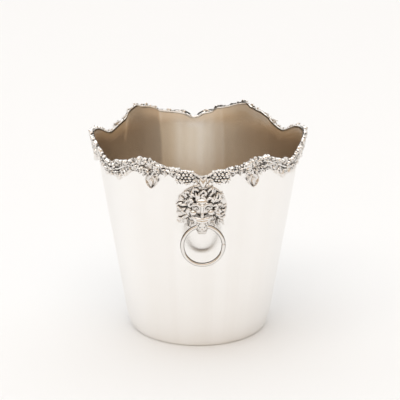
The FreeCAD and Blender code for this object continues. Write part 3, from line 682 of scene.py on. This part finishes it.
    # muzzle: a broad ledge on top, drawn in towards the chin
    for vv, hw, n, r in ((-7.2, 9.9, 10.4, 1.75), (-9.6, 8.4, 10.9, 1.9), (-12.2, 7.0, 11.2, 2.0), (-14.8, 5.9, 11.2, 2.1), (-17.4, 5.0, 11.0, 2.1), (-19.8, 4.0, 10.2, 1.9)):
        F.rope([up(-hw, vv, n - 2.7), up(-hw * 0.55, vv - 0.2, n - 0.3), up(0, vv - 0.4, n + 0.9), up(hw * 0.55, vv - 0.2, n - 0.3), up(hw, vv, n - 2.7)], [r * 0.8, r, r * 1.05, r, r * 0.8], 0.45)
    F.rope([up(0, -9.4, 14.2), up(0, -13.2, 14.4), up(0, -17.2, 14.2)], [0.5, 0.75, 0.85], 0.2, cut=True)
    for sgn in (-1, 1):
        F.ball(up(sgn * 2.6, -8.6, 13.8), (0.9, 0.6, 1.0), 0.15, cut=True)
        for wx, wy in ((2.9, -12.2), (5.0, -11.4), (3.8, -14.4), (6.3, -13.6), (2.3, -16.0), (4.9, -16.6)):
            F.ball(up(sgn * wx, wy, 13.8 - 0.11 * wx * wx), (0.6, 0.6, 1.7), 0.0, cut=True)
        # corners of the mouth, deep and dark
        F.ball(up(sgn * 10.6, -13.2, 5.2), (4.0, 3.3, 6.0), 0.4, cut=True)
        F.rope([up(sgn * 4.4, -20.6, 11.6), up(sgn * 6.6, -20.2, 9.4), up(sgn * 8.2, -18.6, 7.4)], [0.75, 1.1, 1.1], 0.3, cut=True)
        F.rope([up(sgn * 8.9, -9.6, 9.2), up(sgn * 8.3, -12.6, 9.0), up(sgn * 7.2, -16.0, 8.6)], [0.5, 0.7, 0.8], 0.25, cut=True)
    F.rope([up(-4.6, -21.4, 10.2), up(0, -21.7, 12.0), up(4.6, -21.4, 10.2)], [0.7, 0.55, 0.7], 0.25, cut=True)
    # chin and its tuft
    F.ball(up(0, -23.6, 5.2), (5.6, 3.0, 4.2), 0.4)
    for bxx in (-3.4, -1.2, 1.2, 3.4):
        F.rope([up(bxx, -23.6, 8.4 - 0.08 * bxx * bxx), up(bxx * 0.9, -26.2, 6.4), up(bxx * 0.6, -28.4, 3.6)], [1.2, 1.15, 0.6], 0.15)
    # mouth hole flared both ways so that the bent ring can swing in it
    half = 15.0
    ax = np.abs(x)
    lean = np.arcsin(np.clip(ax / RM, 0, 0.85))
    rb = RM * (1 - np.cos(lean)) + RW / np.cos(lean) + 0.42
    bore = np.hypot(y + DROP, z - OUT) - rb
    corner = np.maximum(bore, ax - half)
    F.f = np.maximum(F.f, -corner.astype(np.float32))
    # back cut to the wall's curve
    F.f = np.maximum(F.f, (-0.15 - zz).astype(np.float32))
    v, q = surface_nets(F.f, F.h, F.lo)
    return v, q, cavity_of(F.f, F.h, F.lo, v)


mv, mq, mc = mask_mesh()
two_ways("lion_mask", ("front", "back"), to_world(mv), mq, mc, "mask_silver")


# ------------------------------------------------------------------ ring handles
def ring_mesh():
    n, m = 240, 28
    gap = math.radians(0.55)
    a = np.linspace(math.radians(4.0) + gap, math.radians(4.0) + 2 * math.pi - gap, n)
    b = np.linspace(0, 2 * math.pi, m, endpoint=False)
    rng = np.random.default_rng(2)
    wob = 0.05 * np.sin(3 * a + 1.0) + 0.04 * np.sin(5 * a)
    r = RW * np.ones(n)
    r[0] = r[-1] = RW - 0.25
    rows = []
    for i in range(n):
        cr = RM + wob[i] + r[i] * np.cos(b)
        rows.append(np.stack([cr * math.cos(a[i]), r[i] * np.sin(b), cr * math.sin(a[i])], -1))
    v = np.concatenate(rows)
    q = grid_quads(n, m, wrap=True)[:, ::-1]
    # flat ends: fans collapsed to a centre ring
    c0 = np.array([[RM * math.cos(a[0]), 0, RM * math.sin(a[0])]])
    c1 = np.array([[RM * math.cos(a[-1]), 0, RM * math.sin(a[-1])]])
    v = np.concatenate([v, c0, c1])
    k0, k1 = len(v) - 2, len(v) - 1
    j = np.arange(0, m, 2)
    e0 = np.stack([np.full(m // 2, k0), j, (j + 1) % m, (j + 2) % m], -1)
    base = (n - 1) * m
    e1 = np.stack([np.full(m // 2, k1), base + (j + 2) % m, base + (j + 1) % m, base + j], -1)
    return v, np.concatenate([q, e0[:, ::-1], e1[:, ::-1]])


pivot = to_world(np.array([[0.0, -DROP, OUT]]))[0]
rv, rq = ring_mesh()
front = rv + np.array([0.0, pivot[1], pivot[2] - RM])
turn = np.linspace(0, 2 * math.pi, 28, endpoint=False)
# painted shade on the wire: darker along its two edges and on its wall-facing back, standing in for dark reflections
# and the shade between ring and wall, with a slow ripple along the ring
edge_and_back_shade = np.concatenate([np.tile(np.maximum(np.abs(np.cos(turn)), np.clip(0.66 * np.sin(turn), 0, 1)), 240), [0.0, 0.0]])
around_ring = np.concatenate([np.repeat(np.linspace(0, 2 * math.pi, 240), 28), [0.0, 0.0]])
ring_painted_shade = 0.80 * smooth(0.45, 0.92, edge_and_back_shade) + 0.12 * np.sin(around_ring * 3.0 + 0.7) * smooth(0.3, 0.9, edge_and_back_shade)
for side, pts in (("front", front), ("back", half_turn(front))):
    ob = make("ring_handle_%s_piece" % side, pts, rq, ring_painted_shade)
    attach(ob, "%s_ring" % side)
    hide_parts("ring_handle_%s" % side)
    pieces_made.append((ob, "ring_silver"))


# ------------------------------------------------------------------ spun shell
def shell_mesh():
    cols = 440
    phi = np.arange(cols) * 360.0 / cols
    L = lip(phi)
    rng = np.random.default_rng(7)
    waves = [(rng.integers(1, 9), rng.uniform(0.01, 0.09), rng.uniform(0, 6.28), rng.uniform(0.012, 0.035)) for _ in range(16)]

    def bump(z, inner):
        d = np.zeros(cols)
        for kf, kz, ph, am in waves:
            d += am * np.cos(np.radians(phi) * kf + kz * z + ph)
        return d

    rows = []

    def ring(r, z):
        a = np.radians(phi)
        rows.append(np.stack([r * np.sin(a), -r * np.cos(a), z * np.ones(cols)], -1))

    for i in range(92):
        z = L + (20.1 - L) * (i / 91.0)
        ring(wall(z) + bump(z, False), z)
    # turned-in corner
    p0, p1 = np.array([78.39, 20.1]), np.array([72.9, 1.2])
    mid, d = (p0 + p1) / 2, p1 - p0
    ln = np.linalg.norm(d)
    nrm = np.array([-d[1], d[0]]) / ln
    cen = mid - nrm * math.sqrt(89.0**2 - ln * ln / 4) if nrm[0] > 0 else mid + nrm * math.sqrt(89.0**2 - ln * ln / 4)
    a0, a1 = math.atan2(p0[1] - cen[1], p0[0] - cen[0]), math.atan2(p1[1] - cen[1], p1[0] - cen[0])
    for i in range(1, 13):
        a = a0 + (a1 - a0) * i / 12
        ring(cen[0] + 89.0 * math.cos(a) + bump(20.1, False) * (1 - i / 12.0), cen[1] + 89.0 * math.sin(a))
    for r, z in ((72.72, 0.78), (72.35, 0.38), (71.85, 0.12), (71.2, 0.0), (64.0, 0.0), (63.4, 0.7), (62.2, 2.0), (61.4, 2.45), (50.0, 2.5), (30.0, 2.5), (10.0, 2.5), (1.0, 2.5), (0.02, 2.5)):
        ring(r * np.ones(cols), z)
    for r, z in ((0.02, 3.7), (1.0, 3.7), (10.0, 3.7), (30.0, 3.7), (50.0, 3.7), (61.6, 3.65), (62.8, 3.1), (64.6, 1.5), (66.0, 1.2), (69.6, 1.2), (71.2, 1.5), (71.9, 2.4)):
        ring(r * np.ones(cols), z)
    for i in range(1, 13):
        a = a1 + (a0 - a1) * (i / 12.0)
        ring(cen[0] + 87.8 * math.cos(a) - 0.0, cen[1] + 87.8 * math.sin(a) + 0.6 * (1 - i / 12.0))
    for i in range(1, 84):
        z = 20.1 + (L - 20.1) * (i / 83.0)
        ring(wall(z) - SHEET / CA + bump(z, True), z)
    v = np.concatenate(rows)
    # painted shade and reflection on the inside, in bands from left to right across the bowl, with some patina; it
    # fades near the lip and at the bottom
    px, pz = v[:, 0], v[:, 2]
    wander = 1.6 * np.sin(pz * 0.045 + 0.6)
    tone = 0.80 * (1 - smooth(-40.5 + wander, -36.5 + wander, px)) + 0.25 * smooth(-39, -36, px)
    tone += 0.08 * np.exp(-(((px + 30.0) / 6.0) ** 2)) - 0.07 * np.exp(-(((px - 4.0) / 9.0) ** 2))
    tone += 0.13 * smooth(31.0 + wander, 33.0 + wander, px) + 0.05 * smooth(64, 70, px) + 0.08 * smooth(76, 84, px)
    # painted highlight: a lighter line down a crease at the back left
    tone -= 0.42 * np.exp(-(((px + 75.5 - 0.1 * (pz - 196.0)) / 1.3) ** 2)) * smooth(180, 188, pz) * (v[:, 1] > 0)
    tone += 0.025 * np.sin(px * 0.21 + pz * 0.01) + 0.015 * np.sin(px * 0.53 + 1.0)
    inside = np.zeros(len(v))
    first_in = (len(rows) - 83) * cols
    inside[first_in:] = 1.0
    edge_fade = 1 - 0.45 * smooth(-15.0, -5.0, pz - np.tile(L, len(rows)))
    az = np.tile(np.where(phi > 180, phi - 360, phi), len(rows))
    # outside: painted highlight streaks and a lighter lower wall standing in for reflections, over a faint uneven tone
    outer_painted_light = 0.052 + 0.010 * np.sin(az * 0.31 + 0.4) + 0.007 * np.sin(az * 0.83 + pz * 0.004) + 0.006 * np.sin(az * 1.7 + 2.0) + 0.03 * smooth(30, 190, pz)
    for c, w, a in ((-12.6, 3.6, 0.11), (12.0, 3.0, 0.10), (-57.0, 9.0, 0.05), (66.0, 6.0, 0.03), (168.0, 5.0, 0.09), (-160.0, 6.0, 0.08)):
        outer_painted_light -= a * np.exp(-(((az - c) / w) ** 2)) * (1 - smooth(128, 150, pz) if abs(c) < 20 else 1.0)
    patina_and_painted_light = np.clip(tone, 0, 1) * inside * edge_fade * smooth(15, 60, pz) + np.clip(outer_painted_light, 0.02, 0.3) * (1 - inside)
    q = grid_quads(len(rows), cols)
    last = (len(rows) - 1) * cols
    j = np.arange(cols)
    close = np.stack([last + j, j, (j + 1) % cols, last + (j + 1) % cols], -1)
    return v, np.concatenate([q, close[:, ::-1]]), patina_and_painted_light


sv, sq, shell_patina_and_painted_light = shell_mesh()
shell = make("bucket_shell_piece", sv, sq, shell_patina_and_painted_light)
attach(shell, "bucket")
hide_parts("bucket_shell")
pieces_made.append((shell, "wall_silver"))


# ------------------------------------------------------------------ materials
def silver(name, tint, rough, tarnish_and_shade, depth, bump_scale, bump_amount, aniso=0.0, dull=0.35, patches=0.22, tones=None):
    """Silver plate: clean metal on the high places, black-brown tarnish in the recesses; on the rings and the shell
    the same mix lays painted shade and painted highlight.
    """
    m = bpy.data.materials.new(name)
    m.use_nodes = True
    nt = m.node_tree
    for n in list(nt.nodes):
        nt.nodes.remove(n)
    N = nt.nodes.new
    link = nt.links.new
    out = N("ShaderNodeOutputMaterial")
    b = N("ShaderNodeBsdfPrincipled")
    link(b.outputs[0], out.inputs[0])
    b.inputs["Metallic"].default_value = 1.0
    b.inputs["Anisotropic"].default_value = aniso
    co = N("ShaderNodeTexCoord")
    cav = N("ShaderNodeAttribute")
    cav.attribute_name = "cavity"
    mott = N("ShaderNodeTexNoise")
    mott.inputs["Scale"].default_value = 60.0
    mott.inputs["Detail"].default_value = 4.0
    link(co.outputs["Object"], mott.inputs["Vector"])
    soft = N("ShaderNodeTexNoise")
    soft.inputs["Scale"].default_value = 9.0
    soft.inputs["Detail"].default_value = 3.0
    link(co.outputs["Object"], soft.inputs["Vector"])
    ramp = N("ShaderNodeValToRGB")
    ramp.color_ramp.elements[0].position = depth[0]
    ramp.color_ramp.elements[0].color = (0, 0, 0, 1)
    ramp.color_ramp.elements[1].position = depth[1]
    ramp.color_ramp.elements[1].color = (1, 1, 1, 1)
    add = N("ShaderNodeMath")
    add.operation = "MULTIPLY_ADD"
    link(mott.outputs["Fac"], add.inputs[0])
    add.inputs[1].default_value = patches
    link(cav.outputs["Fac"], add.inputs[2])
    sub = N("ShaderNodeMath")
    sub.operation = "SUBTRACT"
    link(add.outputs[0], sub.inputs[0])
    sub.inputs[1].default_value = patches / 2
    link(sub.outputs[0], ramp.inputs[0])
    mix = N("ShaderNodeMix")
    mix.data_type = "RGBA"
    base = N("ShaderNodeMix")
    base.data_type = "RGBA"
    base.inputs["A"].default_value = (*tint, 1)
    base.inputs["B"].default_value = (tint[0] * 0.95, tint[1] * 0.93, tint[2] * 0.905, 1)
    link(soft.outputs["Fac"], base.inputs["Factor"])
    link(ramp.outputs[0], mix.inputs["Factor"])
    link(base.outputs["Result"], mix.inputs["A"])
    mix.inputs["B"].default_value = (*tarnish_and_shade, 1)
    if tones:
        shade = N("ShaderNodeValToRGB")
        shade.color_ramp.elements[0].position, shade.color_ramp.elements[0].color = 0.0, (*tint, 1)
        shade.color_ramp.elements[1].position, shade.color_ramp.elements[1].color = 1.0, (*tarnish_and_shade, 1)
        for at, col in tones:
            e = shade.color_ramp.elements.new(at)
            e.color = (*col, 1)
        link(sub.outputs[0], shade.inputs[0])
    link(shade.outputs[0] if tones else mix.outputs["Result"], b.inputs["Base Color"])
    ro = N("ShaderNodeMapRange")
    link(soft.outputs["Fac"], ro.inputs[0])
    ro.inputs[1].default_value, ro.inputs[2].default_value = 0.3, 0.7
    ro.inputs[3].default_value, ro.inputs[4].default_value = (rough, rough) if tones else (rough * 0.85, rough * 1.2)
    rr = N("ShaderNodeMath")
    rr.operation = "MULTIPLY_ADD"
    link(ramp.outputs[0], rr.inputs[0])
    rr.inputs[1].default_value = dull
    link(ro.outputs[0], rr.inputs[2])
    link(rr.outputs[0], b.inputs["Roughness"])
    if bump_amount > 0:
        fine = N("ShaderNodeTexNoise")
        fine.inputs["Scale"].default_value = bump_scale
        fine.inputs["Detail"].default_value = 3.0
        link(co.outputs["Object"], fine.inputs["Vector"])
        bp = N("ShaderNodeBump")
        bp.inputs["Strength"].default_value = bump_amount
        bp.inputs["Distance"].default_value = 0.0004
        link(fine.outputs["Fac"], bp.inputs["Height"])
        link(bp.outputs[0], b.inputs["Normal"])
    return m


CLEAN = (0.90, 0.88, 0.86)
DARK = (0.045, 0.038, 0.032)
SATIN = (0.985, 0.975, 0.96)
PATINA_AND_PAINTED_SHADE = (0.45, 0.39, 0.335)
mats = {
    # wall: the tan ramp stops and the darkest colour render the inside's painted shade and reflection, with some
    # patina; the outside's painted highlight streaks sit at the clean end
    "wall_silver": silver("wall_silver_mat", SATIN, 0.24, PATINA_AND_PAINTED_SHADE, (0.0, 1.0), 700.0, 0.0, 0.9, 0.04, 0.05, [(0.12, (0.93, 0.91, 0.885)), (0.32, (0.80, 0.715, 0.605)), (0.55, (0.66, 0.585, 0.50))]),
    "border_silver": silver("border_silver_mat", CLEAN, 0.16, DARK, (0.20, 0.64), 900.0, 0.25),
    "leaf_silver": silver("leaf_silver_mat", CLEAN, 0.15, DARK, (0.26, 0.74), 900.0, 0.2),
    "grape_silver": silver("grape_silver_mat", CLEAN, 0.14, DARK, (0.16, 0.5), 900.0, 0.15),
    "mask_silver": silver("mask_silver_mat", (0.86, 0.84, 0.82), 0.19, DARK, (0.28, 0.88), 900.0, 0.4),
    # the ring's dark colour is the painted shade on its edges and back
    "ring_silver": silver("ring_silver_mat", (0.86, 0.84, 0.82), 0.14, (0.10, 0.078, 0.06), (0.2, 0.75), 800.0, 0.08),
}
for ob, name in pieces_made:
    ob.data.materials.append(mats[name])

# ------------------------------------------------------------------ floor, light, camera
bpy.context.scene.view_settings.view_transform = "Standard"
fl = bpy.data.meshes.new("floor")
S = 14.0
fl.from_pydata([(-S, -S, 0), (S, -S, 0), (S, S, 0), (-S, S, 0)], [], [(0, 1, 2, 3)])
floor = bpy.data.objects.new("floor", fl)
bpy.context.scene.collection.objects.link(floor)
fm = bpy.data.materials.new("floor_mat")
fm.use_nodes = True
fb = fm.node_tree.nodes["Principled BSDF"]
fn = fm.node_tree.nodes.new("ShaderNodeTexNoise")
fn.inputs["Scale"].default_value = 3.0
fr = fm.node_tree.nodes.new("ShaderNodeMix")
fr.data_type = "RGBA"
fr.inputs["A"].default_value = (0.852, 0.863, 0.876, 1)
fr.inputs["B"].default_value = (0.877, 0.888, 0.901, 1)
fm.node_tree.links.new(fn.outputs["Fac"], fr.inputs["Factor"])
fm.node_tree.links.new(fr.outputs["Result"], fb.inputs["Base Color"])
fb.inputs["Roughness"].default_value = 0.85
fb.inputs["Specular IOR Level"].default_value = 0.15
floor.data.materials.append(fm)

world = bpy.data.worlds.new("studio")
bpy.context.scene.world = world
world.use_nodes = True
wn = world.node_tree
for n in list(wn.nodes):
    wn.nodes.remove(n)
wo = wn.nodes.new("ShaderNodeOutputWorld")
wb = wn.nodes.new("ShaderNodeBackground")
wn.links.new(wb.outputs[0], wo.inputs[0])
wc = wn.nodes.new("ShaderNodeTexCoord")
sep = wn.nodes.new("ShaderNodeSeparateXYZ")
wn.links.new(wc.outputs["Generated"], sep.inputs[0])
wr = wn.nodes.new("ShaderNodeValToRGB")
cr = wr.color_ramp
WHITE, BEIGE, DIM, TAN = (1.0, 1.0, 1.0), (0.62, 0.49, 0.36), (0.15, 0.118, 0.085), (0.33, 0.255, 0.175)
stops = [
    (-180, WHITE), (-118, (0.95, 0.95, 0.94)), (-96, (0.62, 0.60, 0.57)), (-78, (0.33, 0.265, 0.20)), (-56, (0.37, 0.295, 0.22)),
    (-42, TAN), (-34, BEIGE), (12, BEIGE), (55, (0.60, 0.47, 0.35)), (64, (0.30, 0.24, 0.175)), (84, (0.26, 0.21, 0.155)), (100, (0.60, 0.58, 0.55)), (122, (0.95, 0.95, 0.94)), (180, WHITE),
]
cr.elements[0].position, cr.elements[0].color = 0.0, (*stops[0][1], 1)
cr.elements[1].position, cr.elements[1].color = 1.0, (*stops[-1][1], 1)
for deg, col in stops[1:-1]:
    e = cr.elements.new((deg + 180.0) / 360.0)
    e.color = (*col, 1)
neg = wn.nodes.new("ShaderNodeMath")
neg.operation = "MULTIPLY"
neg.inputs[1].default_value = -1.0
wn.links.new(sep.outputs["Y"], neg.inputs[0])
azi = wn.nodes.new("ShaderNodeMath")
azi.operation = "ARCTAN2"
wn.links.new(sep.outputs["X"], azi.inputs[0])
wn.links.new(neg.outputs[0], azi.inputs[1])
mr = wn.nodes.new("ShaderNodeMapRange")
mr.inputs[1].default_value, mr.inputs[2].default_value = -math.pi, math.pi
wn.links.new(azi.outputs[0], mr.inputs[0])
wn.links.new(mr.outputs[0], wr.inputs[0])
high = wn.nodes.new("ShaderNodeMapRange")
high.inputs[1].default_value, high.inputs[2].default_value = 0.62, 0.95
wn.links.new(sep.outputs["Z"], high.inputs[0])
ceil = wn.nodes.new("ShaderNodeMix")
ceil.data_type = "RGBA"
wn.links.new(high.outputs[0], ceil.inputs["Factor"])
wn.links.new(wr.outputs[0], ceil.inputs["A"])
ceil.inputs["B"].default_value = (1.04, 1.04, 1.04, 1)
wn.links.new(ceil.outputs["Result"], wb.inputs["Color"])
wb.inputs["Strength"].default_value = 1.13

sun_d = bpy.data.lights.new("soft_sky", "SUN")
sun_d.energy = 0.60
sun_d.angle = math.radians(50)
sun_d.color = (1.0, 0.99, 0.98)
sun = bpy.data.objects.new("soft_sky", sun_d)
sun.rotation_mode = "QUATERNION"
sun.rotation_quaternion = Vector((0.12, 0.35, -1.0)).to_track_quat("-Z", "Y")
bpy.context.scene.collection.objects.link(sun)


def area(name, loc, target, size, power, color=(1, 1, 1), glossy_only=False):
    d = bpy.data.lights.new(name, "AREA")
    d.shape = "RECTANGLE"
    d.size, d.size_y = size
    d.energy = power
    d.color = color
    o = bpy.data.objects.new(name, d)
    o.location = loc
    o.rotation_mode = "QUATERNION"
    o.rotation_quaternion = (Vector(target) - Vector(loc)).to_track_quat("-Z", "Y")
    bpy.context.scene.collection.objects.link(o)
    if glossy_only:
        o.visible_diffuse = False


area("key", (-1.5, -0.9, 1.9), (0, 0, 0.05), (1.0, 1.0), 5, (1.0, 0.98, 0.95))
area("fill", (1.9, -0.7, 1.5), (0, 0, 0.05), (1.2, 1.2), 2, (1.0, 0.98, 0.96))

cam_d = bpy.data.cameras.new("camera")
cam = bpy.data.objects.new("camera", cam_d)
bpy.context.scene.collection.objects.link(cam)
cam_d.sensor_width = 36.0
cam_d.lens = 168.87
cam_d.clip_start, cam_d.clip_end = 0.05, 60.0
cam.location = (-0.08075, -1.88926, 0.78882)
cam.rotation_mode = "QUATERNION"
cam.rotation_quaternion = Vector((0.04124, 0.94459, -0.32565)).to_track_quat("-Z", "Y")
bpy.context.scene.camera = cam
